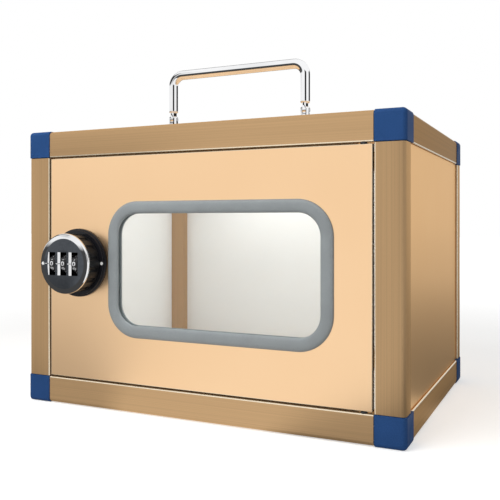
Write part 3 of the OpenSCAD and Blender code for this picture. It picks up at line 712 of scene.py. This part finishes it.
def modelDoor():
    x, y, z = lockSpot
    piece = addBlock("door_sheet", doorLow, doorHigh)
    addFinishes(piece, doorSheet, bareEdgeAndHighlight, nylonBlack)
    openMesh(piece)
    pick("FACE", lambda f: abs(f.normal.y) < 0.5)  # the sheet's dark core shows on its sawn edges, and its black also paints the shade in the gap round the door
    paint(coreAndGapShadeSlot)
    pick("EDGE", lambda e: onPlane(e, yAxis, y))
    bevelEdges(doorSpec["edge"], doorSpec["steps"], bareEdgeAndHighlightSlot)
    closeMesh()
    room = doorSpec["windowRoom"]
    opening = [v + 2 * room for v in windowClear]
    carve(piece, addRoundedSheet("windowCut", opening, windowSpec["round"] + room, y - past, 2 * past))
    ends = (x, y - past, z), (x, y + past, z)
    hole = addRod("barrelCut", *ends, doorSpec["barrel"], doorSpec["barrelSides"])
    half, reach = doorSpec["flats"], 2 * past
    flats = addBlock("flats", (x - reach, y - reach, z - half), (x + reach, y + reach, z + half))
    carve(hole, flats, "INTERSECT")
    carve(piece, hole)
    shade(piece)
    return piece


finishPiece(modelDoor(), "door", ["door_panel"])


# gasket: an H section run round the window
gasketSpec = dict(
    section=((3.4, 1.5), (0.35, 1.5), (0.0, 1.9), (0.05, 2.5), (0.5, 3.2), (1.4, 3.75), (2.8, 4.1),
             (4.5, 4.2), (6.2, 4.1), (7.6, 3.75), (8.5, 3.2), (8.95, 2.55), (9.0, 2.2), (8.8, 2.02),
             (5.0, 2.02)),
    sides=(((1, 0), (1, 1)), ((0, -1), (1, -1)), ((-1, 0), (-1, -1)), ((0, 1), (-1, 1))))


def modelGasket():
    x, y, z = windowCentre
    wide, high = windowClear
    runs = (wide - 2 * windowSpec["round"], high - 2 * windowSpec["round"])
    half = list(gasketSpec["section"])
    section = half + [(p, -q) for p, q in reversed(half)]
    points = [at(x - runs[0] / 2, y - q, z + high / 2 + p) for p, q in section]
    piece = traceChain("window_seal", points, closed=True)
    for i, (way, corner) in enumerate(gasketSpec["sides"]):  # the way along a side, then its corner
        length = runs[i % 2]
        extrudeEdges(at(way[0] * length, 0, way[1] * length))
        centre = at(x + corner[0] * runs[0] / 2, y, z + corner[1] * runs[1] / 2)
        sweepQuarter(centre, windowSpec["steps"])
    closeSkin()
    closeMesh()
    shade(piece, angle=50)
    return piece


finishPiece(modelGasket(), "door", ["window_gasket"], rubberGrey)
dress(clearPane, "window_pane")
print("door, gasket and pane modelled")


# handle: a bent rod with a tongue at each end
barLow, barHigh = boxOf("handle_bar")
handleSpec = dict(
    rod=3.75, sides=48, bend=9, bendSteps=16, shoulder=5.5, shoulderSoft=1.1, shoulderSteps=4, eye=3.0,
    tongue=(1.4, 2.5), tongueRoot=1, tongueSoft=0.2, pinHole=1.55, pinSides=32)
handleSpec["leg"] = barHigh[0] - handleSpec["rod"]
handleSpec["grip"] = barHigh[2] - handleSpec["rod"]
handleSpec["y"] = (barLow[1] + barHigh[1]) / 2
handleSpec["pivot"] = centreOf("handle_pin_left")[2]
handleSpec["shoulder"] += handleSpec["pivot"]


def modelTongue(x):  # the flat end of a leg, with its eye and the hole of the pin
    spec = handleSpec
    y, pivot = spec["y"], spec["pivot"]
    half, wide = spec["tongue"]
    top = spec["shoulder"] + spec["tongueRoot"]
    piece = addBlock("tongue", (x - half, y - wide, pivot), (x + half, y + wide, top))
    carve(piece, addRod("eye", (x - half, y, pivot), (x + half, y, pivot), spec["eye"]), "UNION")
    ends = (x - past, y, pivot), (x + past, y, pivot)
    carve(piece, addRod("pinHole", *ends, spec["pinHole"], spec["pinSides"]))
    soften(piece, spec["tongueSoft"])
    return piece


def modelHandle():
    spec = handleSpec
    leg, y, bend, shoulder = spec["leg"], spec["y"], spec["bend"], spec["shoulder"]
    bendAt = spec["grip"] - bend
    deselectAll()
    bpy.ops.mesh.primitive_circle_add(
        vertices=spec["sides"], radius=spec["rod"] * mm, fill_type="NOTHING",
        location=at(-leg, y, shoulder))
    piece = named("handle_rod")
    settle()
    openMesh(piece)
    bpy.ops.mesh.select_all(action="SELECT")
    rise = at(0, 0, bendAt - shoulder)
    extrudeEdges(rise)
    sweepQuarter(at(bend - leg, y, bendAt), spec["bendSteps"])
    extrudeEdges(at(2 * (leg - bend), 0, 0))
    sweepQuarter(at(leg - bend, y, bendAt), spec["bendSteps"])
    extrudeEdges(-rise)
    for side in (-1, 1):
        pick("EDGE", lambda e: e.is_boundary and middle(e).x * side > 0)
        bpy.ops.mesh.edge_face_add()
    closeSkin()
    pick("EDGE", lambda e: onPlane(e, zAxis, shoulder))
    bevelEdges(spec["shoulderSoft"], spec["shoulderSteps"])
    closeMesh()
    for x in (-leg, leg):
        carve(piece, modelTongue(x), "UNION")
    shade(piece)
    return piece


finishPiece(modelHandle(), "handle", ["handle_bar"], mirrorChrome)

standLow, standHigh = boxOf("handle_post_left")
postSpec = dict(
    rod=3.75, sides=48, round=1.6, steps=6, footSoft=0.3, slot=1.5, slotDeep=3.3, pin=1.53, soft=0.15,
    foot=standLow[2], top=standHigh[2])


def modelPost(name):
    spec = postSpec
    x, y, pivot = -handleSpec["leg"], handleSpec["y"], handleSpec["pivot"]
    rod, foot, top, soft = spec["rod"], spec["foot"], spec["top"], spec["footSoft"]
    section = [(0, foot), (rod - soft, foot), (rod, foot + soft)]
    for step in range(spec["steps"] + 1):
        a = step * quarterTurn / spec["steps"]
        section.append((rod - spec["round"] * (1 - math.cos(a)), top - spec["round"] * (1 - math.sin(a))))
    piece = addLathe(name, [*section, (0, top)], (x, y, 0), (0, 0, 1), spec["sides"])
    slotFrom = pivot - spec["slotDeep"]
    fork = (x - spec["slot"], y - past, slotFrom), (x + spec["slot"], y + past, top + past)
    carve(piece, addBlock("fork", *fork))
    ends = (x - past, y, pivot), (x + past, y, pivot)
    carve(piece, addRod("pinHole", *ends, spec["pin"], handleSpec["pinSides"]))
    soften(piece, spec["soft"])
    shade(piece)
    return piece


leftPost = modelPost("handle_stand_left")
rightPost = copyMirrored(leftPost, "handle_stand_right", safeMiddle, (1, 0, 0))
finishPiece(leftPost, "case", ["handle_post_left"], mirrorChrome)
finishPiece(rightPost, "case", ["handle_post_right"], mirrorChrome)
print("handle modelled")


# lock: heights are measured out of the door's face
outwards = (0, -1, 0)
housing = dict(
    section=((5.05, -12), (9.2, -12), (9.5, -11.7), (9.5, 0), (25.8, 0), (26, 0.2), (26, 1.3), (25.9, 1.7),
             (25.5, 2.0), (25.0, 2.05), (24.8, 2.2), (24.8, 2.9), (24.65, 3.25), (24.2, 3.5), (12.4, 3.5),
             (12.3, 3.4), (12.3, 2.0), (5.05, 2.0)),
    flats=8.0, cutWide=12, cutLong=20, dotSeat=1.25, dotSides=32)


def seatDot(piece, node):  # opens the piece over a dot of the solids
    x, y, z = centreOf(node)
    deep = boxOf(node)[1][1]
    ends = (x, deep, z), (x, y - past, z)
    carve(piece, addRod("dotSeat", *ends, housing["dotSeat"], housing["dotSides"]))


def modelShell():
    x, y, z = lockSpot
    piece = addLathe("lock_shell", housing["section"], lockSpot, outwards)
    wide = housing["cutWide"]
    for side in (-1, 1):
        lowZ, highZ = sorted(z + side * reach * housing["flats"] for reach in (1, 2))
        carve(piece, addBlock("flat", (x - wide, y, lowZ), (x + wide, y + housing["cutLong"], highZ)))
    seatDot(piece, "housing_dot")
    shade(piece, angle=30)
    return piece


finishPiece(modelShell(), "door", ["lock_housing"], glossBlack)

wheelSides = ("left", "middle", "right")
wheelAt = [centreOf("number_wheel_" + side) for side in wheelSides]
wheelLow, wheelHigh = boxOf("number_wheel_middle")
wheelWide = wheelHigh[0] - wheelLow[0]
grip = dict(
    section=((0, 3.8), (21.7, 3.8), (22, 4.1), (22, 15.7), (21.7, 16.0), (0, 16.0)), soft=0.25,
    flutes=16, fluteRound=2.4, fluteDeep=1.1, fluteFrom=5.8, fluteSides=32,
    pitch=wheelAt[1][0] - wheelAt[0][0], slotHalf=wheelWide / 2 + 0.3, slotTall=8.6, floor=5.3)


def modelGrip():
    x, y, z = lockSpot
    piece = addLathe("knob_grip", grip["section"], lockSpot, outwards)
    radius, top = grip["section"][2][0], grip["section"][-1][1]
    outer = y - top - past
    far = radius + grip["fluteRound"] - grip["fluteDeep"]
    for i in range(grip["flutes"]):
        a = (i + 0.5) * fullTurn / grip["flutes"]
        fluteX, fluteZ = x + far * math.cos(a), z + far * math.sin(a)
        ends = (fluteX, y - grip["fluteFrom"], fluteZ), (fluteX, outer, fluteZ)
        carve(piece, addRod("flute", *ends, grip["fluteRound"], grip["fluteSides"]))
    half, tall = grip["slotHalf"], grip["slotTall"]
    for i in (-1, 0, 1):
        slotX = x + i * grip["pitch"]
        pocket = (slotX - half, outer, z - tall), (slotX + half, y - grip["floor"], z + tall)
        carve(piece, addBlock("pocket", *pocket))
    soften(piece, grip["soft"], angle=35)
    shade(piece, angle=30)
    return piece


finishPiece(modelGrip(), "knob", ["knob_body"], gripBlack)

plate = dict(
    radius=22.5, back=16.0, backSoft=0.2, front=19.0, calm=9.0, drop=1.1, edge=1.2, edgeSteps=8, rings=24,
    bevelLeft=2.1, bevelRight=0.3, bevelDeep=0.55, cutBack=2, split=0.45, splitReach=1.4, rim=18.6)
bevelSlot, rimSlot = 1, 2  # places of the slots' bevels and the mirror rim among the plate's finishes; the rest is smoked chrome, whose dark colour paints the face's dark reflection


def plateAt(r):  # how far the plate stands out at a radius: calm in the middle, falling away to its edge
    fall = max(r - plate["calm"], 0) / (plate["radius"] - plate["edge"] - plate["calm"])
    return plate["front"] - plate["drop"] * fall ** 2


def plateSection():
    spec = plate
    radius, back, soft = spec["radius"], spec["back"], spec["backSoft"]
    flatR = radius - spec["edge"]
    edgeAt = plateAt(flatR) - spec["edge"]
    section = [(0, back), (radius - soft, back), (radius, back + soft)]
    for step in range(spec["edgeSteps"] + 1):
        a = step * quarterTurn / spec["edgeSteps"]
        section.append((flatR + spec["edge"] * math.cos(a), edgeAt + spec["edge"] * math.sin(a)))
    for ring in range(1, spec["rings"] + 1):
        r = flatR * (1 - ring / spec["rings"])
        section.append((r, plateAt(r)))
    return section


def modelSlotCutter(slotX, rimY):  # a block that flares past the plate's face, more on the left
    spec = plate
    z, half, tall = lockSpot[2], grip["slotHalf"], grip["slotTall"]
    backY = lockSpot[1] - spec["back"] + spec["cutBack"]
    cutter = addBlock("slotCut", (slotX - half, rimY, z - tall), (slotX + half, backY, z + tall))
    addFinishes(cutter, smokedChromeDarkReflection, bevelChrome)
    openMesh(cutter)
    pick("FACE", lambda f: onPlane(f, yAxis, rimY))
    rise = 2 * spec["bevelDeep"]
    extrudeFaces((0, -rise * mm, 0))
    for side, wide in ((-1, spec["bevelLeft"]), (1, spec["bevelRight"])):
        edgeX, edgeY = (slotX + side * half) * mm, (rimY - rise) * mm
        pick("VERT", lambda v: near(v.co.y, edgeY) and near(v.co.x, edgeX))
        bpy.ops.transform.translate(value=(2 * side * wide * mm, 0, 0))
    pick("FACE", lambda f: abs(f.normal.x) > 0.1 and abs(f.normal.y) > 0.1)
    paint(bevelSlot)
    closeMesh()
    return cutter


def modelPlate():
    spec = plate
    x, y, z = lockSpot
    piece = addLathe("knob_plate", plateSection(), lockSpot, outwards)
    addFinishes(piece, smokedChromeDarkReflection, bevelChrome, mirrorChrome)
    openMesh(piece)
    pick("FACE", lambda f: math.hypot(middle(f).x - x * mm, middle(f).z - z * mm) > spec["rim"] * mm)
    paint(rimSlot)
    closeMesh()
    halfSplit = spec["split"] / 2
    for i in (-1, 0, 1):
        slotX = x + i * grip["pitch"]
        rimY = y - plateAt(abs(i) * grip["pitch"]) + spec["bevelDeep"]
        carve(piece, modelSlotCutter(slotX, rimY))
        splitFrom = slotX - grip["slotHalf"] - spec["splitReach"] * spec["bevelLeft"]
        split = (splitFrom, y - spec["front"] - past, z - halfSplit), (slotX, rimY, z + halfSplit)
        carve(piece, addBlock("splitCut", *split))
    seatDot(piece, "face_dot")
    shade(piece, angle=25)
    return piece


finishPiece(modelPlate(), "knob", ["knob_face"])
print("lock modelled")


# hardware keeps its solids
dress(zincSteel, "handle_pin_left", "handle_pin_right", "handle_screws", "handle_washers",
      "hinge_pin_upper", "hinge_pin_lower", "lock_washer", "lock_nut", "wheel_axle", "spindle", "lock_cam",
      "cam_washer", "cam_screw")
dress(nylonBlack, "hinge_bush_upper", "hinge_bush_lower")
dress(enamelWhite, "face_dot", "housing_dot")
print("hardware dressed")


# number wheels: each a drum with a notch between two places, and ten numerals curved to it
drum = dict(
    radius=6.86, wide=wheelWide / 2, sides=80, soft=0.35, bore=1.3, notch=0.6, notchOut=0.1, notchSides=16,
    places=10)
numeral = dict(tall=3.3, fontScale=1.35, wide=1.4, bold=0.08, thick=0.10, curve=4, shown=(0, 0, 0))


def modelDrum(name, centre):
    x, y, z = centre
    r, w, c = drum["radius"], drum["wide"], drum["soft"]
    section = ((drum["bore"], -w), (r - c, -w), (r, c - w), (r, w - c), (r - c, w), (drum["bore"], w))
    piece = addLathe(name, section, centre, (1, 0, 0), drum["sides"])
    notchAt = r + drum["notchOut"]
    for k in range(drum["places"]):
        a = (k + 0.5) * fullTurn / drum["places"]
        spot = (y - notchAt * math.cos(a), z + notchAt * math.sin(a))
        ends = (x - 2 * w, *spot), (x + 2 * w, *spot)
        carve(piece, addRod("notch", *ends, drum["notch"], drum["notchSides"]))
    shade(piece, angle=30)
    return piece


def modelNumeral(digit, centre, turn):
    deselectAll()
    bpy.ops.object.text_add()
    text = bpy.context.object.data
    text.body = str(digit)
    text.align_x = "CENTER"
    text.align_y = "CENTER"
    text.size = numeral["tall"] * numeral["fontScale"] * mm
    text.offset = numeral["bold"] * mm
    text.extrude = numeral["thick"] / 2 * mm
    text.resolution_u = numeral["curve"]
    bpy.ops.object.convert(target="MESH")
    piece = bpy.context.object
    openMesh(piece)
    bpy.ops.mesh.select_all(action="SELECT")
    bpy.ops.mesh.remove_doubles(threshold=touch / 10)
    closeMesh()
    radius = drum["radius"] * mm
    for v in piece.data.vertices:  # wraps the flat numeral round the wheel
        a = v.co.y / radius + turn
        r = radius + numeral["thick"] / 2 * mm + v.co.z
        v.co = at(*centre) + Vector((v.co.x * numeral["wide"], -r * math.cos(a), r * math.sin(a)))
    return piece


def modelNumerals(name, centre, shown):
    places = drum["places"]
    parts = [modelNumeral(digit, centre, (digit - shown) * fullTurn / places) for digit in range(places)]
    deselectAll()
    for piece in parts:
        piece.select_set(True)
    bpy.context.view_layer.objects.active = parts[0]
    bpy.ops.object.join()
    return named(name)


for side, centre, shown in zip(wheelSides, wheelAt, numeral["shown"]):
    wheel = modelDrum("drum_" + side, centre)
    finishPiece(wheel, "wheel_" + side, ["number_wheel_" + side], wheelBlack)
    digits = modelNumerals("numerals_" + side, centre, shown)
    finishPiece(digits, "wheel_" + side, (), digitSilver)
print("wheels and numerals modelled")


# index lines on the face plate, left of each slot
indexLine = dict(tall=0.5, long=1.5, lift=0.05, sunk=0.2, soft=0.03)
for i, side in enumerate(wheelSides):
    x, y, z = lockSpot
    endX = x + (i - 1) * grip["pitch"] - grip["slotHalf"] - plate["bevelLeft"]
    faceY = y - plateAt(abs(endX - x - indexLine["long"] / 2))
    low = (endX - indexLine["long"], faceY - indexLine["lift"], z - indexLine["tall"] / 2)
    mark = addBlock("index_" + side, low, (endX, faceY + indexLine["sunk"], z + indexLine["tall"] / 2))
    soften(mark, indexLine["soft"], segments=1)
    finishPiece(mark, "knob", (), enamelWhite)
print("index lines modelled")


# camera, floor and light
view = dict(place=(0.24376, -0.5263, 0.14105), turn=25.129, lens=50.07, sensor=36, shift=-0.05604)
deselectAll()
bpy.ops.object.camera_add(location=view["place"], rotation=(quarterTurn, 0, math.radians(view["turn"])))
camera = bpy.context.object
camera.name = "camera"
camera.data.lens = view["lens"]
camera.data.sensor_width = view["sensor"]
camera.data.shift_y = view["shift"]
scene.camera = camera

studio = dict(
    floorSize=12.0, floorColour=(0.74, 0.74, 0.73), floorRough=0.9, floorGloss=0.1,
    nearGlow=0.50, farGlow=0.9, fade=(0.45, 1.3), shade=(0.25, 1.3), skyDiffuse=0.42,
    key=2.5, keySize=0.4, keyPlace=(-0.1, -0.42, 0.56), fill=2.0, fillSize=1.2, fillPlace=(0.9, -1.0, 0.7),
    target=(0, 0, 0.1), inner=0.36, innerSize=0.2, innerHigh=0.198)
# dark cards of the studio that the metal mirrors: azimuth from the front, height, softness, level
wallCards = (
    dict(across=(142, 179), up=(-89, 17), soft=6.0, level=0.76),
    dict(across=(-172, -135), up=(-89, 17), soft=6.0, level=0.15),
    dict(across=(11, 84), up=(-89, 36), soft=8.0, level=0.32),
)
# the same on the floor, with a level close to the safe and one far from it; the cards and their darker
# close level are the safe's shadow painted for the metal to mirror
floorCards = (
    dict(across=(-75, -35), soft=4.0, level=(0.48, 0.72)),
    dict(across=(95, 177), soft=12.0, level=(0.22, 0.62)),
    dict(across=(32, 84), soft=6.0, level=(0.25, 0.42)),
)
# narrow black cards that only the polished chrome is smooth enough to show, and their floor
chromeCards = (
    dict(across=(-172, -14), up=(-89, 7), soft=2.0, level=0.06),
    dict(across=(-172, -36), up=(14, 36), soft=2.0, level=0.06),
    dict(across=(8, 45), up=(2, 22), soft=2.0, level=0.02),
    dict(across=(105, 165), up=(2, 22), soft=3.0, level=0.02),
    dict(across=(-165, -134), up=(36, 50), soft=2.0, level=0.20),
)
chromeFloor = dict(across=(-172, -14), soft=2.0, level=0.06)


def cardShare(tree, card, azimuth, height=None):  # one inside the card, zero outside
    share = None
    for source, limits in ((azimuth, card["across"]), (height, card.get("up"))):
        if source is None:
            continue
        start, end = [[math.radians(v + d) for d in (-card["soft"], card["soft"])] for v in limits]
        for edge in (span(tree, source, start, (0.0, 1.0)), span(tree, source, end, (1.0, 0.0))):
            share = edge if share is None else calc(tree, "MULTIPLY", share, edge)
    return share


def axesOf(tree, source):
    split = addNode(tree, "SeparateXYZ")
    tree.links.new(source, split.inputs[0])
    return split.outputs


def azimuthOf(tree, axes):  # zero in front, positive to the right
    return calc(tree, "ARCTAN2", axes["X"], calc(tree, "MULTIPLY", axes["Y"], -1.0))


def seenPlainly(tree, path):  # one for rays from the camera, also through the pane
    return calc(tree, "MAXIMUM", path["Is Camera Ray"], path["Is Transmission Ray"])


def floorFinish():  # lit and glowing for the camera, with dark cards of painted shade on it for the metal, darkest near the safe as its painted shadow
    finish, tree, surface = emptyFinish("paleFloor")
    skin = addNode(tree, "BsdfPrincipled")
    skin.inputs["Base Color"].default_value = (*studio["floorColour"], 1)
    skin.inputs["Roughness"].default_value = studio["floorRough"]
    skin.inputs["Specular IOR Level"].default_value = studio["floorGloss"]
    path = addNode(tree, "LightPath").outputs
    place = addNode(tree, "TexCoord").outputs["Object"]
    away = calcVector(tree, "LENGTH", "Value", place)
    fade = span(tree, away, studio["fade"], (studio["nearGlow"], studio["farGlow"]))
    skin.inputs["Emission Color"].default_value = (*white, 1)
    tree.links.new(calc(tree, "MULTIPLY", fade, seenPlainly(tree, path)), skin.inputs["Emission Strength"])
    shadowNearness = span(tree, away, studio["shade"], (1.0, 0.0))
    azimuth = azimuthOf(tree, axesOf(tree, place))
    satin = white
    for card in floorCards:
        close, far = [grey(level) for level in card["level"]]
        tone = mixColour(tree, shadowNearness, far, close)
        satin = mixColour(tree, cardShare(tree, card, azimuth), satin, tone)
    polished = mixColour(tree, cardShare(tree, chromeFloor, azimuth), white, grey(chromeFloor["level"]))
    mirrored = addNode(tree, "Emission", Strength=1.0)
    tree.links.new(mixColour(tree, path["Is Singular Ray"], satin, polished), mirrored.inputs["Color"])
    mixShaders(tree, path["Is Glossy Ray"], skin, mirrored, surface)
    return finish


def makeSky():  # white for the camera, a soft even light, and walls with dark cards for the metal
    sky = bpy.data.worlds.new("studio")
    sky.use_nodes = True
    tree = sky.node_tree
    tree.nodes.clear()
    out = tree.nodes.new("ShaderNodeOutputWorld")
    backdrop = addNode(tree, "Background")
    tree.links.new(backdrop.outputs[0], out.inputs["Surface"])
    path = addNode(tree, "LightPath").outputs
    axes = axesOf(tree, addNode(tree, "TexCoord").outputs["Generated"])
    azimuth, height = azimuthOf(tree, axes), calc(tree, "ARCSINE", axes["Z"])
    rooms = []
    for cards in (wallCards, chromeCards):
        room = white
        for card in cards:
            room = mixColour(tree, cardShare(tree, card, azimuth, height), room, grey(card["level"]))
        rooms.append(room)
    mirrored = mixColour(tree, path["Is Singular Ray"], *rooms)
    lit = mixColour(tree, path["Is Glossy Ray"], grey(studio["skyDiffuse"]), mirrored)
    tree.links.new(mixColour(tree, seenPlainly(tree, path), lit, white), backdrop.inputs["Color"])
    return sky


def addLamp(name, power, size, place, target):  # lights, but is seen and mirrored nowhere
    deselectAll()
    bpy.ops.object.light_add(type="AREA", location=place)
    lamp = bpy.context.object
    lamp.name = name
    lamp.data.energy = power
    lamp.data.size = size
    lamp.rotation_euler = (Vector(target) - Vector(place)).to_track_quat("-Z", "Y").to_euler()
    lamp.visible_camera = False
    lamp.visible_glossy = False


deselectAll()
bpy.ops.mesh.primitive_plane_add(size=studio["floorSize"], location=(0, 0, 0))
floor = named("floor")
settle()
floor.data.materials.append(floorFinish())
scene.world = makeSky()
for name in ("key", "fill"):
    addLamp(name + "Lamp", studio[name], studio[name + "Size"], studio[name + "Place"], studio["target"])
innerY = safeMiddle[1] * mm
addLamp("innerLamp", studio["inner"], studio["innerSize"], (0, innerY, studio["innerHigh"]), (0, innerY, 0))
scene.view_settings.view_transform = "Standard"
print("studio set")
